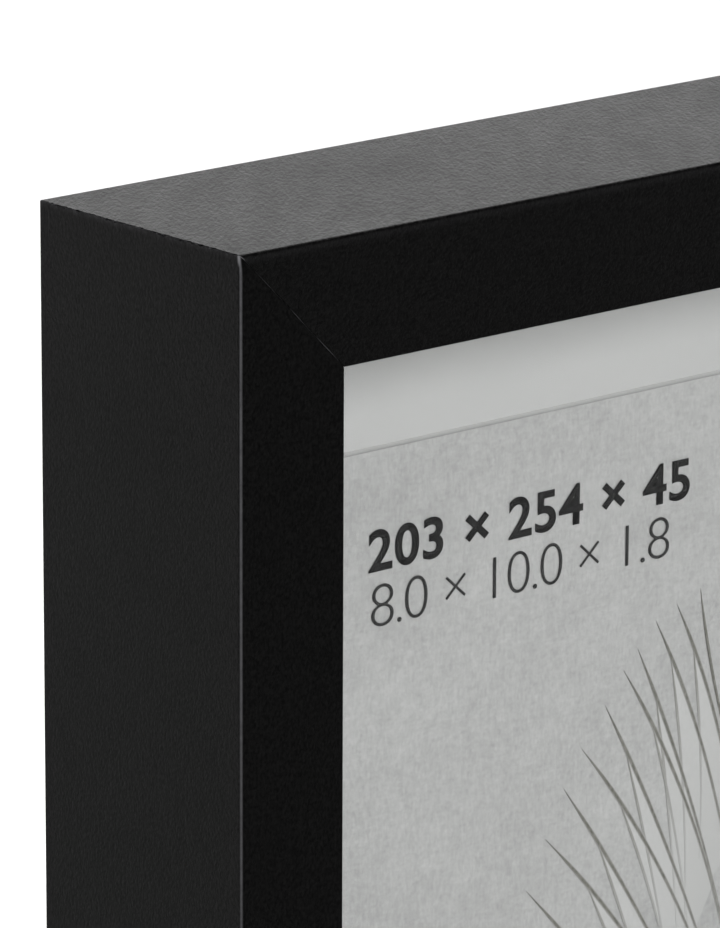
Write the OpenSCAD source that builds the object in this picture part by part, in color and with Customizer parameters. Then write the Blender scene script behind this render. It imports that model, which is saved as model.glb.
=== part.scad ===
// Deep shadow box frame: four mitred mouldings around glass, spacer strips, a bevelled
// mat, a print and a backing board that is held by bendable steel tabs and hangs from
// two swinging rings. It stands on its bottom rail.
// +Z is up, the front faces -Y, the origin is the centre of the footprint on the table.

/* [Overall] */
// Outer width of the frame
frame_w = 233; // [180:1:330]
// Outer height of the frame
frame_h = 284; // [220:1:400]
// Depth from the front face to the back
frame_d = 45; // [38:1:70]

/* [Moulding] */
// Width of the front face
face_w = 19; // [15:0.5:30]
// How far the front lip laps over the glass
lip_w = 5; // [4.5:0.1:8]
// Thickness of the front lip
lip_t = 4; // [3:0.5:6]
// Rounding of the long edges
edge_r = 0.6; // [0.2:0.1:1.2]

/* [Glass and spacers] */
// Thickness of the glass
glass_t = 2; // [1.5:0.1:4]
// Gap between the rebate and everything laid into it
rebate_gap = 1; // [0.6:0.1:1.5]
// Thickness of the white spacer strips
spacer_t = 3; // [1:0.1:3]

/* [Mat and print] */
// Thickness of the mat
mat_t = 1.2; // [0.8:0.1:3]
// Width of mat that shows between the lip and its window
mat_border = 25.4; // [8:0.1:40]
// Thickness of the print
print_t = 0.25; // [0.1:0.05:0.5]
// How far the print runs behind the mat
print_lap = 4; // [2:0.5:7]

/* [Backing board] */
// Thickness of the backing board
board_t = 3; // [2:0.5:5]
// Depth of the recess behind the backing board
recess_d = 7.55; // [5:0.05:12]

/* [Tabs] */
// Width of a steel tab
tab_w = 6; // [4:0.5:10]
// Thickness of a steel tab
tab_t = 0.5; // [0.3:0.1:0.6]
// Length of the free tongue
tab_len = 10; // [7:0.5:16]
// Depth of the tab's root in the wood
tab_bite = 7; // [4:0.5:8]
// Gap between a closed tongue and the board
tab_gap = 0.1; // [0.05:0.05:0.5]
// Distance of the outer tabs on the sides from the middle
side_spread = 85; // [50:1:90]
// Distance of the tabs at the ends from the middle
end_spread = 60; // [35:1:65]

/* [Hangers] */
// Thickness of the hanger plate
plate_t = 0.6; // [0.4:0.1:0.8]
// Width of the hanger plate
plate_w = 14; // [12:0.5:15]
// Length of the hanger plate below the ring's bar
plate_l = 10; // [9:0.5:11]
// Width of the rolled loop around the ring's bar
curl_w = 9; // [6:0.5:10]
// Radius of the ring's wire
wire_r = 0.85; // [0.6:0.05:1]
// Width of the ring between wire centres
ring_w = 20; // [19:0.5:26]
// Height of the ring between wire centres
ring_h = 15; // [14:0.5:20]
// Distance of the ring's bar from the edge of the board
hanger_inset = 25; // [20:1:40]
// Radius of a rivet
rivet_r = 1.5; // [1:0.1:2]
// Distance between the two rivets of a plate
rivet_gap = 8; // [6:0.5:8.5]

/* [Corner nails] */
// Spread of a nail across the mitre
nail_w = 8; // [5:0.5:8]
// Thickness of a nail
nail_t = 0.5; // [0.3:0.1:0.8]
// Depth of a nail in the wood
nail_h = 10; // [6:1:14]

/* [Hidden] */
$fn = 48;
skin = 1;
wall_w = face_w - lip_w;
front_y = -frame_d / 2;
back_y = frame_d / 2;
mid_z = frame_h / 2;
insert_w = frame_w - 2 * wall_w - 2 * rebate_gap;
insert_h = frame_h - 2 * wall_w - 2 * rebate_gap;
sight_w = frame_w - 2 * face_w;
sight_h = frame_h - 2 * face_w;
window_w = sight_w - 2 * mat_border;
window_h = sight_h - 2 * mat_border;
cavity_d = frame_d - lip_t - glass_t - mat_t - print_t - board_t - recess_d;
glass_y = front_y + lip_t;
spacer_y = glass_y + glass_t;
mat_y = spacer_y + cavity_d;
print_y = mat_y + mat_t;
board_y = print_y + print_t;
board_back_y = board_y + board_t;
tab_y = board_back_y + tab_gap;
bar_gap = 0.05;
curl_r = wire_r + bar_gap + plate_t;
ring_bend = 2;
rivet_drop = 6;
head_r = 2.4;
head_h = 0.9;
flare_r = 2.4;
flare_h = 0.8;
nail_steps = [4, 11];
foil_black = [0.07, 0.07, 0.068];
steel = [0.72, 0.72, 0.73];
white_card = [0.93, 0.93, 0.92];
sheet_grey = [0.8, 0.8, 0.78];
hardboard = [0.42, 0.3, 0.19];
clear_glass = [0.85, 0.92, 0.92, 0.35];

side_reach = frame_w / 2 - wall_w;
end_reach = frame_h / 2 - wall_w;

// Turns that bring what is drawn at the bottom to each side of the frame.
at_bottom = 0;
at_left = 90;
at_right = -90;
at_top = 180;

// Each tab: its name, its side, the distance from the centre to the wall of the rebate
// there, and its place along that wall.
TABS = [
  ["tab_left_1", at_left, side_reach, -side_spread],
  ["tab_left_2", at_left, side_reach, 0],
  ["tab_left_3", at_left, side_reach, side_spread],
  ["tab_right_1", at_right, side_reach, side_spread],
  ["tab_right_2", at_right, side_reach, 0],
  ["tab_right_3", at_right, side_reach, -side_spread],
  ["tab_top_1", at_top, end_reach, end_spread],
  ["tab_top_2", at_top, end_reach, -end_spread],
  ["tab_bottom_1", at_bottom, end_reach, -end_spread],
  ["tab_bottom_2", at_bottom, end_reach, end_spread]
];

// Puts what was drawn below the frame's centre on one side of the frame.
module on_side(turn) {
  translate([0, 0, mid_z])
    rotate([0, turn, 0])
      children();
}

// Block given by its low corner's depth and sizes, centred on the frame.
module slab(width, height, low_y, thick) {
  translate([-width / 2, low_y, mid_z - height / 2])
    cube([width, thick, height]);
}

// Section of the moulding: depth along x, distance in from the outer face along y.
module section() {
  translate([front_y + edge_r, 0])
    square([frame_d - 2 * edge_r, wall_w]);
  translate([front_y, edge_r])
    square([edge_r, face_w - 2 * edge_r]);
  translate([front_y + edge_r, edge_r])
    square([lip_t - edge_r, face_w - edge_r]);
  translate([back_y - edge_r, edge_r])
    square([edge_r, wall_w - edge_r]);
  translate([front_y + edge_r, edge_r])
    circle(r = edge_r);
  translate([front_y + edge_r, face_w - edge_r])
    circle(r = edge_r);
  translate([back_y - edge_r, edge_r])
    circle(r = edge_r);
}

// One moulding along X below the centre, cut at 45 degrees at both ends.
module moulding(length, reach) {
  cut = face_w + skin;
  intersection() {
    translate([-length / 2, 0, -reach])
      rotate([90, 0, 90])
        linear_extrude(height = length)
          section();
    translate([0, back_y + skin, 0])
      rotate([90, 0, 0])
        linear_extrude(height = frame_d + 2 * skin)
          polygon([
            [-length / 2, -reach],
            [length / 2, -reach],
            [length / 2 - cut, cut - reach],
            [cut - length / 2, cut - reach]
          ]);
  }
}

// One bent nail: its corner lies on the mitre and one leg runs into each moulding.
module nail() {
  inner = nail_t * sqrt(2);
  leg = nail_w / 2;
  translate([0, back_y, 0])
    rotate([90, 0, 0])
      linear_extrude(height = nail_h)
        rotate([0, 0, 45])
          polygon([
            [0, 0],
            [leg, leg],
            [leg, leg - inner],
            [inner, 0],
            [leg, inner - leg],
            [leg, -leg]
          ]);
}

// The nails of all four corners.
module nails() {
  for (turn = [0, 180], flip = [0, 1], step = nail_steps)
    translate([0, 0, mid_z])
      rotate([0, turn, 0])
        mirror([flip, 0, 0])
          translate([step - frame_w / 2, 0, step - mid_z])
            nail();
}

// Puts a tab that was drawn at its bend, pointing up, where the table says.
module at_tab(tab) {
  on_side(tab[1])
    translate([tab[3], tab_y + tab_t, -tab[2]])
      rotate([90, 0, 0])
        linear_extrude(height = tab_t)
          children();
}

// Free tongue of a tab, over the backing board, with a round tip.
module tongue(tab) {
  body_l = tab_len - tab_w / 2;
  color(steel)
    at_tab(tab) {
      translate([-tab_w / 2, 0])
        square([tab_w, body_l]);
      translate([0, body_l])
        circle(d = tab_w);
    }
}

// Roots of all the tabs, driven into the walls of the rebate.
module roots() {
  shoulder = tab_bite - tab_w / 2;
  for (tab = TABS)
    at_tab(tab)
      polygon([
        [-tab_w / 2, 0],
        [tab_w / 2, 0],
        [tab_w / 2, -shoulder],
        [0, -tab_bite],
        [-tab_w / 2, -shoulder]
      ]);
}

// A moulding with its slots for nails and tab roots.
module slotted(turn, length, reach) {
  color(foil_black)
    difference() {
      on_side(turn)
        moulding(length, reach);
      nails();
      roots();
    }
}

module rail_top() {
  slotted(at_top, frame_w, frame_h / 2);
}

module rail_bottom() {
  slotted(at_bottom, frame_w, frame_h / 2);
}

module stile_left() {
  slotted(at_left, frame_h, frame_w / 2);
}

module stile_right() {
  slotted(at_right, frame_h, frame_w / 2);
}

module corner_nails() {
  color(steel)
    nails();
}

module glass_pane() {
  color(clear_glass)
    slab(insert_w, insert_h, glass_y, glass_t);
}

// Strip along the top or bottom of the rebate.
module long_spacer(turn) {
  color(white_card)
    on_side(turn)
      translate([-insert_w / 2, spacer_y, -insert_h / 2])
        cube([insert_w, cavity_d, spacer_t]);
}

// Strip along a side of the rebate, between the top and bottom strips.
module side_spacer(turn) {
  length = insert_h - 2 * spacer_t;
  color(white_card)
    on_side(turn)
      translate([-length / 2, spacer_y, -insert_w / 2])
        cube([length, cavity_d, spacer_t]);
}

module spacer_top() {
  long_spacer(at_top);
}

module spacer_bottom() {
  long_spacer(at_bottom);
}

module spacer_left() {
  side_spacer(at_left);
}

module spacer_right() {
  side_spacer(at_right);
}

// Prism across the mat's window, wider at the front, for one direction of the window.
module bevel(opening, length) {
  near = opening / 2 + mat_t + skin;
  far = opening / 2 - skin;
  rotate([90, 0, 90])
    translate([0, 0, -length / 2])
      linear_extrude(height = length)
        polygon([
          [mat_y - skin, -near],
          [mat_y - skin, near],
          [print_y + skin, far],
          [print_y + skin, -far]
        ]);
}

module mat_board() {
  color(white_card)
    difference() {
      slab(insert_w, insert_h, mat_y, mat_t);
      translate([0, 0, mid_z])
        intersection() {
          bevel(window_h, insert_w);
          rotate([0, 90, 0])
            bevel(window_w, insert_h);
        }
    }
}

module print_sheet() {
  color(sheet_grey)
    slab(window_w + 2 * print_lap, window_h + 2 * print_lap, print_y, print_t);
}

// Puts what is drawn around a hanger's bar on the board, at the top.
module at_top_hanger() {
  translate([0, board_back_y, mid_z + insert_h / 2 - hanger_inset])
    children();
}

// The same on the right edge of the board, for hanging the frame the wide way.
module at_side_hanger() {
  translate([insert_w / 2 - hanger_inset, board_back_y, mid_z])
    rotate([0, 90, 0])
      children();
}

// Places the two rivets of one hanger.
module each_rivet() {
  for (side = [-1, 1])
    translate([side * rivet_gap / 2, 0, -rivet_drop])
      rotate([-90, 0, 0])
        children();
}

// One rivet: flared flush in the front of the board, with a low round head on the plate.
module rivet() {
  ball_r = (head_r * head_r + head_h * head_h) / (2 * head_h);
  translate([0, 0, -board_t])
    cylinder(r = rivet_r, h = board_t + plate_t + head_h / 2);
  translate([0, 0, -board_t])
    cylinder(r1 = flare_r, r2 = rivet_r, h = flare_h);
  intersection() {
    translate([0, 0, plate_t + head_h - ball_r])
      sphere(r = ball_r);
    translate([0, 0, plate_t])
      cylinder(r = head_r, h = head_h);
  }
}

// Section of the loop that is rolled around the ring's bar, with the neck below it:
// distance from the board along x, height along y.
module curl_section(neck) {
  difference() {
    union() {
      translate([curl_r, 0])
        circle(r = curl_r);
      translate([0, -neck])
        square([plate_t, neck]);
    }
    translate([curl_r, 0])
      circle(r = curl_r - plate_t);
    translate([plate_t, -curl_r - skin])
      square([curl_r - plate_t, curl_r + skin]);
  }
}

// Wall hanger plate with its rolled loop.
module plate() {
  neck = 2 * curl_r;
  corner = 2;
  difference() {
    translate([0, plate_t, 0])
      rotate([90, 0, 0])
        linear_extrude(height = plate_t) {
          translate([-plate_w / 2, corner - plate_l])
            square([plate_w, plate_l - neck - corner]);
          translate([corner - plate_w / 2, -plate_l])
            square([plate_w - 2 * corner, corner]);
          for (side = [-1, 1])
            translate([side * (plate_w / 2 - corner), corner - plate_l])
              circle(r = corner);
        }
    each_rivet()
      translate([0, 0, -skin])
        cylinder(r = rivet_r, h = plate_t + 2 * skin);
  }
  translate([-curl_w / 2, 0, 0])
    rotate([90, 0, 90])
      linear_extrude(height = curl_w)
        curl_section(neck);
}

// Wire ring hanging from its straight bar.
module ring() {
  half = ring_w / 2;
  straight = half - ring_bend;
  arm = ring_h - half - ring_bend;
  translate([0, curl_r, 0]) {
    translate([-straight, 0, 0])
      rotate([0, 90, 0])
        cylinder(r = wire_r, h = 2 * straight);
    for (side = [0, 1])
      mirror([side, 0, 0]) {
        translate([straight, 0, -ring_bend])
          rotate([90, 0, 0])
            rotate_extrude(angle = 90)
              translate([ring_bend, 0])
                circle(r = wire_r);
        translate([half, 0, -ring_bend - arm])
          cylinder(r = wire_r, h = arm);
      }
    translate([0, 0, -ring_bend - arm])
      rotate([90, 0, 0])
        rotate([0, 0, 180])
          rotate_extrude(angle = 180)
            translate([half, 0])
              circle(r = wire_r);
  }
}

module backing_board() {
  color(hardboard)
    difference() {
      slab(insert_w, insert_h, board_y, board_t);
      at_top_hanger()
        each_rivet()
          rivet();
      at_side_hanger()
        each_rivet()
          rivet();
    }
}

module hanger_plate_top() {
  color(steel)
    at_top_hanger()
      plate();
}

module hanger_plate_side() {
  color(steel)
    at_side_hanger()
      plate();
}

module hanger_ring_top() {
  color(steel)
    at_top_hanger()
      ring();
}

module hanger_ring_side() {
  color(steel)
    at_side_hanger()
      ring();
}

module hanger_rivets() {
  color(steel) {
    at_top_hanger()
      each_rivet()
        rivet();
    at_side_hanger()
      each_rivet()
        rivet();
  }
}

module tab_roots() {
  color(steel)
    roots();
}

rail_top();
rail_bottom();
stile_left();
stile_right();
corner_nails();
glass_pane();
spacer_top();
spacer_bottom();
spacer_left();
spacer_right();
mat_board();
print_sheet();
backing_board();
hanger_plate_top();
hanger_plate_side();
hanger_ring_top();
hanger_ring_side();
hanger_rivets();
tab_roots();
for (tab = TABS)
  tongue(tab);
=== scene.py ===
"""Looks of the shadow box frame: foil-wrapped mouldings, glass, mat, print and back."""
import math
import random

import bpy
from mathutils import Matrix, Vector, noise


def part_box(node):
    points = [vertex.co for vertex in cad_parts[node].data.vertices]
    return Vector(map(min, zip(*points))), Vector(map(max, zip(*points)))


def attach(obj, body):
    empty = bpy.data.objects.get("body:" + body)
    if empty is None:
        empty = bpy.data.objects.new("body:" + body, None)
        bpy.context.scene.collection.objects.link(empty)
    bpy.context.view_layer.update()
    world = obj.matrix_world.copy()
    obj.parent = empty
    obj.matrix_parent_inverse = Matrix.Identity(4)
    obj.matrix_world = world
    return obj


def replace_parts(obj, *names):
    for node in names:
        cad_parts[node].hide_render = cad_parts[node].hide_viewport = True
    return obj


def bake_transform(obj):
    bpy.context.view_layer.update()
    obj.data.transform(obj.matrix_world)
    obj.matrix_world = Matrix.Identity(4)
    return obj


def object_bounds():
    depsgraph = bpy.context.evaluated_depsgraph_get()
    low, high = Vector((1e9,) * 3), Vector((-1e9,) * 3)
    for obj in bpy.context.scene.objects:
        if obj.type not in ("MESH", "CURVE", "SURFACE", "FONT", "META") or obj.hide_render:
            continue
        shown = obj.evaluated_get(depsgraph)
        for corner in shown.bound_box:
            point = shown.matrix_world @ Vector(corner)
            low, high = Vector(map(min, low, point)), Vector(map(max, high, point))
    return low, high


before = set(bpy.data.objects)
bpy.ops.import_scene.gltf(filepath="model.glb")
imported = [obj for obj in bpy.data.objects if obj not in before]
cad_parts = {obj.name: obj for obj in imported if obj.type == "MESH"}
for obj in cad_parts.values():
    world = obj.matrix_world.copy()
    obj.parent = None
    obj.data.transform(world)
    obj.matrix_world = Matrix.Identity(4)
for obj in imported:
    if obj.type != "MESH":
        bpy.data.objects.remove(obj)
cad_low, cad_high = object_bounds()

MM = 0.001


# ---------------------------------------------------------------- sizes from the CAD frame

# FACE is the mouldings' width from the front, WALL their width behind the lip, LIP the lip's thickness.
WIDTH = cad_high.x - cad_low.x
HEIGHT = cad_high.z - cad_low.z
DEPTH = cad_high.y - cad_low.y
FRONT = cad_low.y
MIDDLE = (cad_low.z + cad_high.z) / 2
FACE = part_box("rail_bottom")[1].z - cad_low.z
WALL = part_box("tab_left_1")[0].x - cad_low.x
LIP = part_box("glass_pane")[0].y - FRONT
PRINT_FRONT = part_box("print_sheet")[0].y
MAT_THICKNESS = 1.2 * MM


# ---------------------------------------------------------------- helpers for shader nodes

# Places of a colour mix node's sockets
COLOUR_A = 6
COLOUR_B = 7
COLOUR_RESULT = 2


class Shader:
    """A material's node tree, with short calls for the nodes used here."""

    def __init__(self, name):
        self.material = bpy.data.materials.new(name)
        self.material.use_nodes = True
        self.tree = self.material.node_tree
        self.surface = self.tree.nodes["Principled BSDF"]
        self.place = self.tree.nodes.new("ShaderNodeTexCoord").outputs["Object"]

    def link(self, value, socket):
        """Sets a socket to a plain value, or links another socket to it."""
        if isinstance(value, bpy.types.NodeSocket):
            self.tree.links.new(value, socket)
        else:
            socket.default_value = value

    def set(self, **values):
        """Sets the surface shader's sockets, with _ for spaces in their names."""
        for name, value in values.items():
            self.link(value, self.surface.inputs[name.replace("_", " ")])

    def math(self, operation, a, b=0.0):
        """The result of one operation on two values."""
        node = self.tree.nodes.new("ShaderNodeMath")
        node.operation = operation
        self.link(a, node.inputs[0])
        self.link(b, node.inputs[1])
        return node.outputs[0]

    def noise(self, size, detail=2.0, roughness=0.5, stretch=(1, 1, 1), turn=0):
        """Noise with features about size metres across, longer where stretch is over 1, turned about Z."""
        mapping = self.tree.nodes.new("ShaderNodeMapping")
        mapping.vector_type = "TEXTURE"
        self.link(self.place, mapping.inputs["Vector"])
        mapping.inputs["Scale"].default_value = stretch
        mapping.inputs["Rotation"].default_value = (0, 0, math.radians(turn))
        node = self.tree.nodes.new("ShaderNodeTexNoise")
        self.link(mapping.outputs[0], node.inputs["Vector"])
        node.inputs["Scale"].default_value = 0.6 / size
        node.inputs["Detail"].default_value = detail
        node.inputs["Roughness"].default_value = roughness
        return node.outputs["Fac"]

    def span(self, value, low, high, to_low=0.0, to_high=1.0, smooth=False):
        """Maps low..high to to_low..to_high and clamps it."""
        node = self.tree.nodes.new("ShaderNodeMapRange")
        node.interpolation_type = "SMOOTHSTEP" if smooth else "LINEAR"
        self.link(value, node.inputs["Value"])
        for name, amount in zip(("From Min", "From Max", "To Min", "To Max"), (low, high, to_low, to_high)):
            node.inputs[name].default_value = amount
        return node.outputs["Result"]

    def mix(self, share, a, b):
        """Colour mix of a and b."""
        node = self.tree.nodes.new("ShaderNodeMix")
        node.data_type = "RGBA"
        self.link(share, node.inputs[0])
        for colour, place in ((a, COLOUR_A), (b, COLOUR_B)):
            plain = not isinstance(colour, bpy.types.NodeSocket)
            self.link((*colour, 1) if plain else colour, node.inputs[place])
        return node.outputs[COLOUR_RESULT]

    def axis(self, letter):
        """The place along one axis, in metres."""
        node = self.tree.nodes.new("ShaderNodeSeparateXYZ")
        self.link(self.place, node.inputs[0])
        return node.outputs[letter]

    def attribute(self, name):
        """A value stored on the mesh."""
        node = self.tree.nodes.new("ShaderNodeAttribute")
        node.attribute_name = name
        return node.outputs["Fac"]

    def bump(self, height, depth, strength=1.0):
        """Bump of a 0..1 height that stands for depth metres."""
        node = self.tree.nodes.new("ShaderNodeBump")
        self.link(height, node.inputs["Height"])
        node.inputs["Distance"].default_value = depth
        node.inputs["Strength"].default_value = strength
        self.link(node.outputs[0], self.surface.inputs["Normal"])


# ---------------------------------------------------------------- materials


def foil(name, stretch, turn, relief):
    """Black decor foil with a fine embossed grain, drawn out by stretch and turned, a pale grey for worn
    spots and painted edge highlights, and bare board.
    """
    s = Shader(name)
    grain = s.noise(0.26 * MM, 2, 0.6, stretch, turn)
    speckle = s.noise(0.40 * MM, 4, 0.8, stretch, turn)
    mottle = s.noise(2.4 * MM, 4, 0.7, stretch, turn)
    cloud = s.noise(18 * MM, 3, 0.55)
    height = s.math("ADD", s.math("MULTIPLY", grain, 0.5), s.math("MULTIPLY", speckle, 0.5))
    black = s.mix(s.span(height, 0.42, 0.60), (0.0002, 0.0002, 0.0002), (0.0033, 0.0033, 0.0032))
    # Pale grey where the foil is worn at its cut edges, and painted highlight and reflection along some
    # rounded edges.
    worn_and_highlit = s.math("MULTIPLY", s.attribute("wear_and_highlight"), s.span(s.noise(1.2 * MM, 4, 0.7), 0.36, 0.62, 0.75, 1.0))
    foil_colour = s.mix(worn_and_highlit, black, (0.170, 0.169, 0.178))
    fibre = s.noise(0.35 * MM, 5, 0.75)
    board = s.mix(s.span(fibre, 0.3, 0.7), (0.150, 0.096, 0.052), (0.250, 0.172, 0.102))
    bare = s.attribute("bare")
    gloss = s.math("ADD", s.math("MULTIPLY", cloud, 0.35), s.math("MULTIPLY", mottle, 0.65))
    s.set(
        Base_Color=s.mix(bare, foil_colour, board),
        Roughness=s.span(gloss, 0.32, 0.68, 0.35, 0.42),
        Specular_IOR_Level=0.025,
    )
    s.bump(height, relief)
    return s.material


def clear_glass():
    """Glass that lets light straight through and mirrors a little more towards grazing angles."""
    s = Shader("picture_glass")
    nodes = s.tree.nodes
    nodes.remove(s.surface)
    clear = nodes.new("ShaderNodeBsdfTransparent")
    clear.inputs["Color"].default_value = (0.962, 0.965, 0.963, 1)
    gloss = nodes.new("ShaderNodeBsdfGlossy")
    gloss.inputs["Roughness"].default_value = 0.02
    fresnel = nodes.new("ShaderNodeFresnel")
    fresnel.inputs["IOR"].default_value = 1.12
    mix = nodes.new("ShaderNodeMixShader")
    s.link(fresnel.outputs[0], mix.inputs[0])
    s.link(clear.outputs[0], mix.inputs[1])
    s.link(gloss.outputs[0], mix.inputs[2])
    s.link(mix.outputs[0], nodes["Material Output"].inputs["Surface"])
    return s.material


def white_board(name, low, high, tooth):
    """White faced board with a fine tooth and faint clouds."""
    s = Shader(name)
    fine = s.noise(0.18 * MM, 3, 0.7)
    cloud = s.noise(22 * MM, 3, 0.5)
    tone = s.math("ADD", s.math("MULTIPLY", fine, 0.5), s.math("MULTIPLY", cloud, 0.5))
    s.set(
        Base_Color=s.mix(s.span(tone, 0.35, 0.65), low, high),
        Roughness=s.span(fine, 0.3, 0.7, 0.62, 0.78),
        Specular_IOR_Level=0.25,
    )
    s.bump(fine, tooth)
    return s.material


def mat_core():
    """The mat's bevelled cut: painted paler at the face, to offset the shade its slope gets, with paper
    dust, and painted shade towards the print.
    """
    s = Shader("mat_core")
    fine = s.noise(0.25 * MM, 3, 0.7)
    depth = s.span(s.axis("Y"), PRINT_FRONT - MAT_THICKNESS, PRINT_FRONT)
    # Painted paler than the mat's face, to offset the shade the bevel's slope gets.
    pale = s.mix(s.span(fine, 0.35, 0.65), (0.53, 0.53, 0.525), (0.58, 0.58, 0.575))
    s.set(
        # Painted shade, darkening the bevel towards the print.
        Base_Color=s.mix(s.math("POWER", depth, 2.6), pale, (0.32, 0.32, 0.317)),
        Roughness=s.span(fine, 0.3, 0.7, 0.7, 0.85),
        Specular_IOR_Level=0.2,
    )
    s.bump(fine, 0.05 * MM)
    return s.material


def linen_print():
    """Light grey printed ground with the look of fine canvas: short upright threads and blotches."""
    s = Shader("print_ground")
    upright = s.noise(0.30 * MM, 3, 0.75, (1, 1, 2.6))
    level = s.noise(0.34 * MM, 3, 0.7, (2.6, 1, 1))
    mottle = s.noise(2.2 * MM, 5, 0.7, (1, 1, 1.3))
    cloud = s.noise(18 * MM, 4, 0.5)
    threads = s.math("ADD", s.math("MULTIPLY", upright, 0.6), s.math("MULTIPLY", level, 0.4))
    tone = s.math("ADD", s.math("MULTIPLY", threads, 0.60), s.math("MULTIPLY", mottle, 0.20))
    tone = s.math("ADD", tone, s.math("MULTIPLY", cloud, 0.20))
    s.set(
        Base_Color=s.mix(s.span(tone, 0.38, 0.62), (0.350, 0.350, 0.348), (0.495, 0.495, 0.492)),
        Roughness=s.span(threads, 0.3, 0.7, 0.55, 0.7),
        Specular_IOR_Level=0.25,
    )
    s.bump(threads, 0.06 * MM, 0.7)
    return s.material


def ink(name, dark, light, paper=None):
    """Printed ink that lets the paper's threads through, and fades to paper where fade is 1."""
    s = Shader(name)
    threads = s.noise(0.35 * MM, 3, 0.7, (1, 1, 2.2))
    colour = s.mix(s.span(threads, 0.35, 0.68), dark, light)
    if paper:
        colour = s.mix(s.attribute("fade"), colour, paper)
    s.set(Base_Color=colour, Roughness=s.span(threads, 0.3, 0.7, 0.5, 0.65), Specular_IOR_Level=0.2)
    s.bump(threads, 0.04 * MM, 0.5)
    return s.material


def metal(name, low, high, rough, scratch):
    """Plated sheet or wire with fine drawing marks along one direction."""
    s = Shader(name)
    marks = s.noise(0.12 * MM, 4, 0.7, scratch)
    stain = s.noise(3.5 * MM, 4, 0.6)
    tone = s.math("ADD", s.math("MULTIPLY", marks, 0.5), s.math("MULTIPLY", stain, 0.5))
    s.set(
        Base_Color=s.mix(s.span(tone, 0.32, 0.68), low, high),
        Metallic=1.0,
        Roughness=s.span(tone, 0.3, 0.7, rough, rough + 0.16),
    )
    s.bump(marks, 0.012 * MM, 0.6)
    return s.material


def hardboard():
    """Brown fibreboard, smooth on the outside, with pressed fibres and darker flecks."""
    s = Shader("backing_hardboard")
    fibre = s.noise(0.5 * MM, 5, 0.7, (2.5, 1, 1))
    fleck = s.noise(0.8 * MM, 2, 0.7, (1.3, 1, 1))
    cloud = s.noise(26 * MM, 4, 0.6)
    tone = s.math("ADD", s.math("MULTIPLY", fibre, 0.55), s.math("MULTIPLY", cloud, 0.45))
    brown = s.mix(s.span(tone, 0.35, 0.65), (0.128, 0.074, 0.038), (0.205, 0.128, 0.070))
    flecked = s.mix(s.span(fleck, 0.66, 0.76), brown, (0.085, 0.050, 0.028))
    s.set(Base_Color=flecked, Roughness=s.span(tone, 0.3, 0.7, 0.55, 0.75), Specular_IOR_Level=0.3)
    s.bump(fibre, 0.05 * MM, 0.7)
    return s.material


# ---------------------------------------------------------------- helpers for meshes


def add_mesh(name, points, faces, body, material, smooth=False):
    """Makes one piece of the object, attached to a body if one is given."""
    mesh = bpy.data.meshes.new(name)
    mesh.from_pydata(points, [], faces)
    mesh.validate()
    mesh.polygons.foreach_set("use_smooth", [smooth] * len(mesh.polygons))
    mesh.materials.append(material)
    piece = bpy.data.objects.new(name, mesh)
    bpy.context.scene.collection.objects.link(piece)
    if body:
        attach(piece, body)
    return piece


def on_side(turn):
    """Turns what is drawn below the frame's centre to one side, as the CAD does."""
    return Matrix.Translation((0, 0, MIDDLE)) @ Matrix.Rotation(math.radians(turn), 4, "Y")


SIDES = {"bottom": 0, "left": 90, "right": -90, "top": 180}


# ---------------------------------------------------------------- mouldings

EDGE = 0.6 * MM  # rounding of the long outer edges
FINE_EDGE = 0.28 * MM  # rounding of the edge round the opening and of the back edge
NAIL_PROUD = 0.05 * MM  # the nails stand this far out of the back
ARC_STEPS = 10
SHARP_ANGLE = 30


def arc(centre, radius, start, end, kind):
    """Points along a quarter of an edge's rounding, in degrees, with their inward directions."""
    for i in range(ARC_STEPS + 1):
        t = math.radians(start + (end - start) * i / ARC_STEPS)
        out = Vector((math.cos(t), math.sin(t)))
        yield centre + out * radius, -out, kind, i / ARC_STEPS


def run(start, end, step, inward, kind):
    """Points along a flat stretch of the section, both ends left out."""
    count = max(1, round((end - start).length / step))
    for i in range(1, count):
        yield start.lerp(end, i / count), Vector(inward), kind, i / count


def moulding_section():
    """The section's outline: each point with its inward direction, its part and its share along that part.

    A point is its depth from the front and its distance in from the outer face.
    """
    back = DEPTH - NAIL_PROUD
    fine = 0.3 * MM
    coarse = 1.5 * MM
    points = [*arc(Vector((back - FINE_EDGE, FINE_EDGE)), FINE_EDGE, 0, -90, "back_edge")]
    points += run(Vector((back - FINE_EDGE, 0)), Vector((EDGE, 0)), fine, (0, 1), "outer")
    points += arc(Vector((EDGE, EDGE)), EDGE, 270, 180, "front_edge")
    points += run(Vector((0, EDGE)), Vector((0, FACE - FINE_EDGE)), fine, (1, 0), "front")
    points += arc(Vector((FINE_EDGE, FACE - FINE_EDGE)), FINE_EDGE, 180, 90, "lip_edge")
    points += [
        (Vector((LIP, FACE)), Vector((0, -1)), "inner", 0),
        (Vector((LIP, WALL)), Vector((0, 0)), "inner", 0.5),
        (Vector((back, WALL)), Vector((-1, 0)), "back", 0),
    ]
    points += run(Vector((back, WALL)), Vector((back, FINE_EDGE)), coarse, (-1, 0), "back")
    return points


def bell(value, centre, width):
    """1 at the centre, easing to 0 at width away on both sides."""
    return max(0.0, 1 - ((value - centre) / width) ** 2) ** 2


def ragged(distance, size, seed):
    """Noise of 0 to 1 along a line."""
    return noise.noise(Vector((distance / size, seed, 0.37))) * 0.5 + 0.5


def groove(kind, distance, seed):
    """How far the foil's cut edge falls back from the mitre at one point of the section."""
    if kind in ("outer", "front_edge", "back_edge"):
        chip = max(0.0, ragged(distance, 0.6 * MM, seed) - 0.54) * 0.9
        return (0.07 + 0.10 * ragged(distance, 4.0 * MM, seed + 9) + chip) * MM
    return (0.07 + 0.05 * ragged(distance, 5.0 * MM, seed + 9)) * MM


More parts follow.
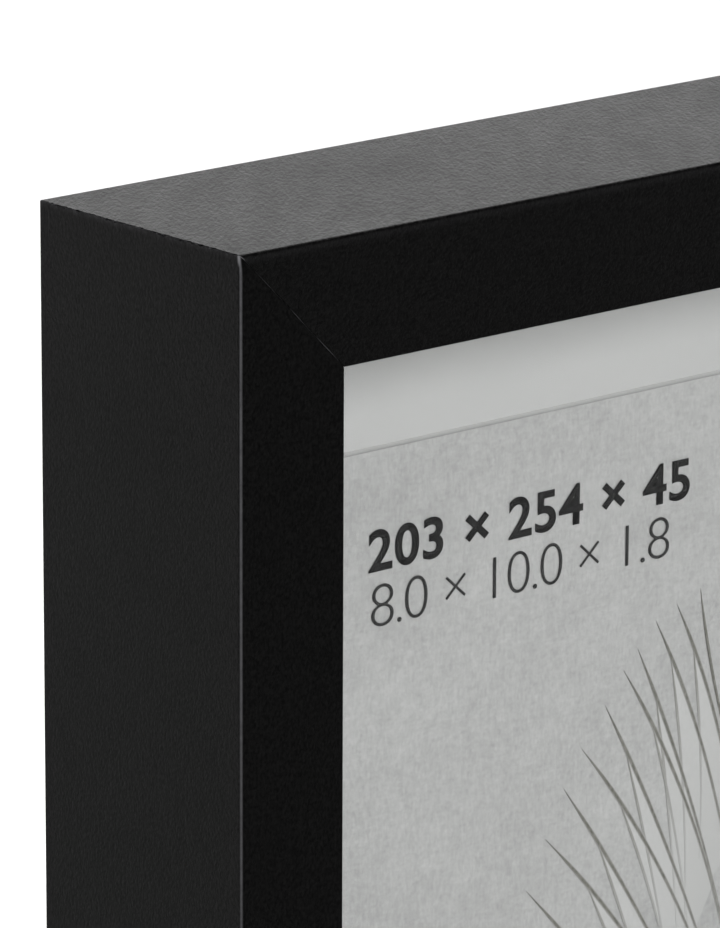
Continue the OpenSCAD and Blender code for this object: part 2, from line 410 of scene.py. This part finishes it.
def seam_wear(kind, share, distance, seed):
    """How much of the foil's pale core shows at the mitre at one point of the section."""
    if kind == "front":
        patches = min(1.0, max(0.0, ragged(distance, 2.2 * MM, seed) - 0.34) * 3)
        return patches * (0.15 + 0.85 * share) * min(1.0, (1 - share) * 9)
    if kind == "outer":
        return max(0.0, ragged(distance, 0.6 * MM, seed + 3) - 0.52) * 2.4
    return 1.0 if kind == "front_edge" else 0.0


def long_wear_and_highlight(kind, share, upright, distance, from_end, height):
    """How pale the foil is painted along the moulding's own edges, and next to its mitres: worn chips on an
    upright's outer face by the mitre, a painted highlight along an upright's rounded front edge, brighter
    towards the top and at the corners, and a faint painted reflection along a rail's rounded front edge.
    """
    if upright and kind == "outer":
        return (0.02 + 0.20 * ragged(distance, 0.7 * MM, 5) ** 3) * bell(from_end, 0.0, 0.6 * MM)
    # Painted highlight along the upright's rounded front edge, stronger towards the top and at the corners.
    if upright and kind == "front_edge":
        corner = bell(from_end, 0.0, 2.0 * MM)
        strength = 0.24 + 0.20 * height + 0.56 * corner
        return strength * bell(share, 0.44 - 0.32 * corner, 0.32 + 0.12 * corner)
    # Painted faint reflection along the rail's rounded front edge and the strip of front face just below
    # it.
    if kind == "front_edge":
        return 0.022 * bell(share, 1.0, 0.5)
    if kind == "front" and not upright:
        return 0.022 * bell(share, 0.0, 0.06)
    return 0.0


# Distances from the mitre at which a moulding has a ring of points
CUTS = [0, 0.35 * MM, 0.8 * MM, 1.6 * MM, 2.6 * MM, 6 * MM, 20 * MM, 60 * MM]

# Bare board shows on the back further in than this, where the foil is wrapped round and ends
FOIL_WRAP = 4 * MM


def is_bare(first, second):
    """Whether the strip between two neighbouring points of the section has no foil."""
    kinds = first[2], second[2]
    return kinds == ("inner", "back") or "back" in kinds and first[0].y > FOIL_WRAP


def moulding(name, side, length, *grain):
    """One mitred moulding with rounded long edges and slightly ragged foil at its mitres."""
    section = moulding_section()
    place = on_side(SIDES[side])
    upright = side in ("left", "right")
    reach = (WIDTH if upright else HEIGHT) / 2
    count = len(section)
    half = length / 2
    rings = [(-1, None), *((-1, cut) for cut in CUTS), *((1, cut) for cut in reversed(CUTS)), (1, None)]
    points, wear_and_highlight, bare, faces = [], [], [], []
    for end, cut in rings:
        for spot, inward, kind, share in section:
            distance = spot.x + spot.y
            seed = SIDES[side] + 40 * end
            gap = groove(kind, distance, seed)
            drop = inward * gap if cut is None else Vector((0, 0))
            x = half - spot.y - drop.y - (0 if cut is None else gap + cut)
            point = place @ Vector((end * x, FRONT + spot.x + drop.x, spot.y + drop.y - reach))
            points.append(point)
            # Per point: worn core at the mitres, and painted highlight and painted reflection along the
            # rounded edges.
            edge = long_wear_and_highlight(kind, share, upright, distance, cut or 0.0, (point.z - cad_low.z) / HEIGHT)
            wear_and_highlight.append(max(edge, seam_wear(kind, share, distance, seed)) if cut is None else edge)
    for strip in range(len(rings) - 1):
        for i in range(count):
            j = (i + 1) % count
            near, far = strip * count, (strip + 1) * count
            faces.append([near + i, near + j, far + j, far + i])
            bare.append(1.0 if is_bare(section[i], section[j]) else 0.0)
    last = (len(rings) - 1) * count
    faces += [list(range(count)), list(range(last + count - 1, last - 1, -1))]
    bare += [0.0, 0.0]
    piece = add_mesh(name, points, faces, "frame", foil(name + "_foil", *grain), smooth=True)
    piece.data.set_sharp_from_angle(angle=math.radians(SHARP_ANGLE))
    piece.data.attributes.new("wear_and_highlight", "FLOAT", "POINT").data.foreach_set("value", wear_and_highlight)
    piece.data.attributes.new("bare", "FLOAT", "FACE").data.foreach_set("value", bare)
    return piece


def mouldings():
    """The four mouldings in place of the plain ones. A grain is its stretch, its turn and its relief."""
    rail_grain = (3.8, 1, 1), 49, 0.36 * MM
    stile_grain = (1, 1, 1.4), 0, 0.11 * MM
    for node, side, length, grain in (
        ("rail_top", "top", WIDTH, rail_grain),
        ("rail_bottom", "bottom", WIDTH, rail_grain),
        ("stile_left", "left", HEIGHT, stile_grain),
        ("stile_right", "right", HEIGHT, stile_grain),
    ):
        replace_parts(moulding(node + "_foiled", side, length, *grain), node)


# ---------------------------------------------------------------- the print's picture

INK_LIFT = 0.03 * MM  # each layer of ink stands this far in front of the one below
STROKE_LIFT = 0.0006 * MM  # and each stroke of a layer this far in front of the last


def from_left_top(x, z):
    """A point of the picture, in millimetres from the frame's left and top outer edges."""
    return Vector((cad_low.x + x * MM, cad_high.z - z * MM))


def flat_solid(name, strips, layer, material):
    """Thin closed solids in front of the print. A strip is a row of (left point, right point, fade)."""
    front = PRINT_FRONT - INK_LIFT * (layer + 0.5)
    back = PRINT_FRONT - INK_LIFT * (layer - 0.4)
    points, faces, fades = [], [], []
    for number, strip in enumerate(strips):
        first = len(points)
        lift = number * STROKE_LIFT
        for left, right, fade in strip:
            for spot, y in ((left, front), (right, front), (right, back), (left, back)):
                points.append((spot.x, y - lift, spot.y))
                fades.append(fade)
        for i in range(len(strip) - 1):
            p = first + 4 * i
            for s in range(4):
                t = (s + 1) % 4
                faces.append([p + s, p + t, p + 4 + t, p + 4 + s])
        last = first + 4 * (len(strip) - 1)
        faces += [[first + 3, first + 2, first + 1, first], [last, last + 1, last + 2, last + 3]]
    piece = add_mesh(name, points, faces, "back", material)
    piece.data.attributes.new("fade", "FLOAT", "POINT").data.foreach_set("value", fades)


def curve_point(tip, foot, bow, t):
    """A point on a gently bowed line from tip to foot."""
    way = foot - tip
    side = Vector((-way.y, way.x))
    return tip + way * t + side * (bow * 4 * t * (1 - t))


def stroke(tip, foot, bow, width, start=0.0, end=1.0, swell=0.35, fade=lambda t: 0.0, steps=24):
    """A brush line along a bowed line, fine at both ends and widest at the swell."""
    rows = []
    for i in range(steps + 1):
        share = i / steps
        t = start + (end - start) * share
        ahead = curve_point(tip, foot, bow, t + 0.01) - curve_point(tip, foot, bow, t - 0.01)
        across = Vector((-ahead.y, ahead.x)).normalized()
        grow = math.sin(min(1.0, share / swell) * math.pi / 2)
        half = width / 2 * max(0.08, grow * (1 - 0.55 * max(0.0, share - swell) / (1 - swell)))
        centre = curve_point(tip, foot, bow, t)
        rows.append((centre - across * half, centre + across * half, fade(share)))
    return rows


INSIDE_STEPS = 19


def leaflet(tip, foot, bow, side, rng):
    """One folded palm leaflet: its pale inside, a faint far edge, a soft haze, and a dark near edge."""
    open_at = rng.uniform(0.10, 0.17)
    spread_end = rng.uniform(0.55, 0.68)
    far_foot = foot + Vector((side * 12.0, -7.5)) * MM * rng.uniform(0.75, 1.15)
    far_tip = curve_point(tip, foot, bow, open_at)
    inside = []
    for i in range(INSIDE_STEPS + 1):
        t = i / INSIDE_STEPS
        near = curve_point(tip, foot, bow, open_at + (spread_end - open_at) * t)
        far = curve_point(far_tip, far_foot, bow * 0.7, spread_end * t)
        inside.append((far.lerp(near, 0.04), near, 0.15 + 0.85 * t * t))
    far_edge = stroke(
        far_tip, far_foot, bow * 0.7, 0.52 * MM,
        end=spread_end, swell=0.25, fade=lambda t: 0.08 + 0.92 * t,
    )
    near_edge = stroke(
        tip, foot, bow, 0.46 * MM,
        swell=0.14, fade=lambda t: 0.55 * max(0.0, t - 0.35) / 0.65,
    )
    haze = stroke(
        tip, foot, bow, 0.82 * MM,
        start=0.01, swell=0.16, fade=lambda t: 0.25 + 0.6 * t,
    )
    return inside, far_edge, haze, near_edge


LEAFLETS = 13  # on each side of the stem
TOP_BLADES = 4  # short blades at the frond's tip


def frond():
    """A generic palm frond. Its leaflets' tips lie on a curve on each side of a bowed stem."""
    rng = random.Random(11)
    stem_tip = from_left_top(137, 74)
    stem_foot = from_left_top(146, 233)
    stem_bow = -0.055
    insides, far_edges, near_edges = [], [], []
    for k in range(LEAFLETS):
        reach = 0.40 + 0.042 * k
        left_tip = from_left_top(117 - 4.0 * k + 0.02 * k * k, 80 + 1.85 * k + 0.40 * k * k)
        right_tip = from_left_top(152 + 3.4 * k - 0.09 * k * k, 82 + 2.0 * k + 0.38 * k * k)
        for side, tip in ((-1, left_tip), (1, right_tip)):
            tip = tip + Vector((rng.uniform(-0.6, 0.6), rng.uniform(-0.6, 0.6))) * MM
            foot = curve_point(stem_tip, stem_foot, stem_bow, reach + (0.01 if side > 0 else 0.0))
            bow = side * -0.045 * rng.uniform(0.6, 1.4)
            inside, far_edge, haze, near_edge = leaflet(tip, foot, bow, side, rng)
            insides.append(inside)
            far_edges += [far_edge, haze]
            near_edges.append(near_edge)
    for k in range(TOP_BLADES):
        tip = from_left_top(122 + 6.5 * k, 78 - 3.2 * min(k, 3 - k) + rng.uniform(-1, 1))
        foot = curve_point(stem_tip, stem_foot, stem_bow, 0.26 + 0.03 * k)
        near_edges.append(stroke(tip, foot, 0.02 * (k - 1.5), 0.55 * MM, swell=0.25))
    near_edges.append(stroke(stem_tip, stem_foot, stem_bow, 1.5 * MM, start=0.12, swell=0.9))
    paper = (0.458, 0.458, 0.455)
    pale = ink("leaf_inside_ink", (0.485, 0.485, 0.482), (0.535, 0.535, 0.532), paper)
    faint = ink("leaf_faint_ink", (0.20, 0.197, 0.18), (0.28, 0.276, 0.258), paper)
    dark = ink("leaf_dark_ink", (0.12, 0.117, 0.103), (0.23, 0.226, 0.205), paper)
    flat_solid("leaf_insides", insides, 1, pale)
    flat_solid("leaf_far_edges", far_edges, 2, faint)
    flat_solid("leaf_near_edges", near_edges, 3, dark)


NUMERAL_HEIGHT = 6.6 * MM
NUMERAL_WIDEN = 1.12
NUMERAL_LAYER = 4.5  # in layers of ink in front of the print


def numerals(name, words, corner, weight, spread, material):
    """A line of plain numbers printed on the sheet from its top left corner, as closed thin solids."""
    curve = bpy.data.curves.new(name + "_outline", "FONT")
    curve.body = words
    curve.size = 1.0
    curve.offset = weight
    curve.extrude = 0.0
    curve.resolution_u = 6
    curve.space_character = spread
    maker = bpy.data.objects.new(name + "_maker", curve)
    bpy.context.scene.collection.objects.link(maker)
    bpy.context.view_layer.update()
    flat = bpy.data.meshes.new_from_object(maker.evaluated_get(bpy.context.evaluated_depsgraph_get()))
    bpy.data.objects.remove(maker)
    bpy.data.curves.remove(curve)
    low = min(v.co.y for v in flat.vertices)
    high = max(v.co.y for v in flat.vertices)
    first = min(v.co.x for v in flat.vertices)
    scale = NUMERAL_HEIGHT / (high - low)
    widen = scale * NUMERAL_WIDEN
    depth = PRINT_FRONT - INK_LIFT * NUMERAL_LAYER
    for v in flat.vertices:
        v.co = Vector((corner.x + (v.co.x - first) * widen, depth, corner.y - (high - v.co.y) * scale))
    piece = bpy.data.objects.new(name, flat)
    bpy.context.scene.collection.objects.link(piece)
    flat.materials.clear()
    flat.materials.append(material)
    thick = piece.modifiers.new("thickness", "SOLIDIFY")
    thick.thickness = INK_LIFT
    thick.offset = 0
    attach(piece, "back")


def picture():
    """The print's picture: a frond under two lines of numbers."""
    frond()
    black = ink("numeral_black_ink", (0.005, 0.005, 0.005), (0.014, 0.014, 0.014))
    grey = ink("numeral_grey_ink", (0.020, 0.020, 0.020), (0.045, 0.045, 0.045))
    numerals("print_numbers_bold", "203 × 254 × 45", from_left_top(53.2, 56.6), 0.020, 1.06, black)
    numerals("print_numbers_thin", "8.0 × 10.0 × 1.8", from_left_top(53.8, 65.2), -0.022, 0.88, grey)


# ---------------------------------------------------------------- tabs


TAB_IN_WOOD = 0.6 * MM  # the strip starts this far inside the wood
TAB_EASE = 0.08 * MM  # its faces' edges are eased by this


def tab_outline(half, straight):
    """Half widths and heights of a tab: fine steps over the bend, then coarse ones, then a round tip."""
    heights = [-TAB_IN_WOOD + i * 0.25 * MM for i in range(13)]
    heights += [straight * (0.35 + 0.65 * i / 4) for i in range(5)]
    outline = [(half, z) for z in heights]
    for i in range(1, 11):
        t = math.pi / 2 * i / 10
        outline.append((half * math.cos(t), straight + half * math.sin(t)))
    return outline


def tab_faces(rows, levels):
    """Faces of a strip with rows of two points at each level of its thickness."""
    faces = []
    per = 2 * rows
    for level in (0, levels - 1):
        for i in range(rows - 1):
            p = level * per + 2 * i
            quad = [p, p + 1, p + 3, p + 2]
            faces.append(quad if level else quad[::-1])
    for level in range(levels - 1):
        for i in range(rows - 1):
            for side in (0, 1):
                p = level * per + 2 * i + side
                quad = [p, p + 2, p + per + 2, p + per]
                faces.append(quad if side else quad[::-1])
        p = level * per
        faces.append([p, p + 1, p + per + 1, p + per])
    return faces


def tab_tongue(node, side, steel):
    """One bendable steel tab, from just inside the wood to its round tip, with eased edges."""
    low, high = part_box(node)
    place = on_side(SIDES[side])
    wall = -((WIDTH if side in ("left", "right") else HEIGHT) / 2 - WALL)
    to_local = place.inverted()
    a, b = to_local @ low, to_local @ high
    along = (a.x + b.x) / 2
    half = abs(b.x - a.x) / 2
    straight = abs(b.z - a.z) - half
    outline = tab_outline(half, straight)
    levels = ((low.y, TAB_EASE), (low.y + TAB_EASE, 0), (high.y - TAB_EASE, 0), (high.y, TAB_EASE))
    points = []
    for y, inset in levels:
        for x, z in outline:
            width = max(0.0, x - inset) if x > inset else 0.0
            level_z = wall + (z - (inset if z > straight else 0))
            for x_end in (along - width, along + width):
                points.append(place @ Vector((x_end, y, level_z)))
    piece = add_mesh(node + "_strip", points, tab_faces(len(outline), len(levels)), None, steel)
    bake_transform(piece)
    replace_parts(piece, node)


def tabs(steel):
    """A remodelled tongue in place of each plain one."""
    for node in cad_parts:
        if node.startswith("tab_") and node != "tab_roots":
            tab_tongue(node, node.split("_")[1], steel)


# ---------------------------------------------------------------- CAD pieces that keep their shape


def dress(node, material):
    """Gives a CAD piece its material."""
    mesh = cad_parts[node].data
    mesh.materials.clear()
    mesh.materials.append(material)


# The mat's bevel is neither square to the front nor flush with it
BEVEL_LEAST = 0.3
BEVEL_MOST = 0.95


def mat():
    """The mat's white face, and the core on its bevel, painted paler near the face and with painted shade
    towards the print.
    """
    dress("mat_board", white_board("mat_white", (0.480, 0.480, 0.478), (0.515, 0.515, 0.512), 0.035 * MM))
    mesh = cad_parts["mat_board"].data
    mesh.materials.append(mat_core())
    for face in mesh.polygons:
        if BEVEL_LEAST < abs(face.normal.y) < BEVEL_MOST:
            face.material_index = 1


def cad_pieces(steel):
    """Materials for the pieces whose plain shape is right."""
    dress("glass_pane", clear_glass())
    spacer = white_board("spacer_white", (0.56, 0.56, 0.556), (0.62, 0.62, 0.616), 0.03 * MM)
    for side in SIDES:
        dress("spacer_" + side, spacer)
    mat()
    dress("print_sheet", linen_print())
    dress("backing_board", hardboard())
    nickel = metal("hanger_nickel", (0.30, 0.29, 0.272), (0.47, 0.455, 0.43), 0.26, (6, 1, 1))
    for node in ("hanger_plate_top", "hanger_plate_side", "hanger_ring_top", "hanger_ring_side"):
        dress(node, nickel)
    dress("hanger_rivets", metal("rivet_zinc", (0.33, 0.335, 0.345), (0.46, 0.468, 0.478), 0.30, (1, 1, 1)))
    dress("tab_roots", steel)
    dress("corner_nails", metal("nail_steel", (0.30, 0.30, 0.31), (0.46, 0.46, 0.47), 0.36, (1, 5, 1)))


# ---------------------------------------------------------------- camera, floor and lights

VIEW_AZIMUTH = -40.92
VIEW_ELEVATION = 15.23
VIEW_ROLL = 0.23
CAMERA_DISTANCE = 0.9245
AIM_RIGHT = 16.42 * MM
AIM_DOWN = 28.70 * MM
LENS = 259.95


def camera():
    """Long lens on the front top left corner, from the front left and a little above."""
    a = math.radians(VIEW_AZIMUTH)
    e = math.radians(VIEW_ELEVATION)
    back = Vector((math.sin(a) * math.cos(e), -math.cos(a) * math.cos(e), math.sin(e)))
    right = Vector((math.cos(a), math.sin(a), 0))
    up = back.cross(right)
    roll = math.radians(VIEW_ROLL)
    right, up = (
        right * math.cos(roll) + up * math.sin(roll),
        up * math.cos(roll) - right * math.sin(roll),
    )
    corner = Vector((cad_low.x, cad_low.y, cad_high.z))
    spot = corner + back * CAMERA_DISTANCE + right * AIM_RIGHT - up * AIM_DOWN
    data = bpy.data.cameras.new("camera")
    data.lens = LENS
    data.sensor_width = 36
    data.clip_start, data.clip_end = 0.01, 60
    eye = bpy.data.objects.new("camera", data)
    eye.matrix_world = Matrix.Translation(spot) @ Matrix((right, up, back)).transposed().to_4x4()
    bpy.context.scene.collection.objects.link(eye)
    bpy.context.scene.camera = eye


FLOOR_REACH = 30.0  # metres from the middle to each side


def floor():
    """Large plain pale floor."""
    s = Shader("studio_floor")
    s.set(Base_Color=(0.95, 0.95, 0.95, 1), Roughness=0.8, Specular_IOR_Level=0.0)
    corners = [(x * FLOOR_REACH, y * FLOOR_REACH, 0) for x, y in ((-1, -1), (1, -1), (1, 1), (-1, 1))]
    mesh = bpy.data.meshes.new("studio_floor")
    mesh.from_pydata(corners, [], [[0, 1, 2, 3]])
    mesh.materials.append(s.material)
    ground = bpy.data.objects.new("studio_floor", mesh)
    bpy.context.scene.collection.objects.link(ground)


def area_light(name, spot, aim, size, power):
    """A flat lamp at a spot, aimed at another."""
    data = bpy.data.lights.new(name, "AREA")
    data.shape = "RECTANGLE"
    data.size, data.size_y = size
    data.energy = power
    lamp = bpy.data.objects.new(name, data)
    lamp.location = spot
    lamp.rotation_euler = (Vector(aim) - Vector(spot)).to_track_quat("-Z", "Y").to_euler()
    bpy.context.scene.collection.objects.link(lamp)


def wide_light(name, direction, spread, strength):
    """A far light that shines from a round patch of sky, spread degrees across."""
    data = bpy.data.lights.new(name, "SUN")
    data.energy = strength
    data.angle = math.radians(spread)
    lamp = bpy.data.objects.new(name, data)
    lamp.rotation_euler = Vector(direction).to_track_quat("Z", "Y").to_euler()
    bpy.context.scene.collection.objects.link(lamp)


def room():
    """An even pale room, plain white where the camera sees it."""
    world = bpy.data.worlds.new("studio")
    world.use_nodes = True
    nodes, links = world.node_tree.nodes, world.node_tree.links
    light = nodes["Background"]
    light.inputs["Color"].default_value = (1, 1, 1, 1)
    light.inputs["Strength"].default_value = 0.32
    white = nodes.new("ShaderNodeBackground")
    white.inputs["Color"].default_value = (1, 1, 1, 1)
    white.inputs["Strength"].default_value = 1.0
    ray = nodes.new("ShaderNodeLightPath")
    mix = nodes.new("ShaderNodeMixShader")
    links.new(ray.outputs["Is Camera Ray"], mix.inputs[0])
    links.new(light.outputs[0], mix.inputs[1])
    links.new(white.outputs[0], mix.inputs[2])
    links.new(mix.outputs[0], nodes["World Output"].inputs["Surface"])
    bpy.context.scene.world = world


def lights():
    """Soft light from the front above, a sheen from behind, and a pool of light behind to the left."""
    room()
    wide_light("front_soft", (0.12, -0.92, 0.36), 18, 2.05)
    wide_light("back_soft", (0.50, 0.75, 0.38), 70, 2.12)
    wide_light("overhead", (0.0, 0.0, 1.0), 50, 0.5)
    area_light("left_pool", (-1.0, 1.0, 0.9), (-1.0, 1.0, 0), (1.0, 1.0), 31)


# ---------------------------------------------------------------- make everything

tab_steel = metal("tab_spring_steel", (0.26, 0.26, 0.27), (0.42, 0.42, 0.43), 0.32, (1, 1, 1))

camera()
mouldings()
cad_pieces(tab_steel)
picture()
tabs(tab_steel)
floor()
lights()

scene = bpy.context.scene
scene.view_settings.view_transform = "Standard"
scene.view_settings.look = "None"
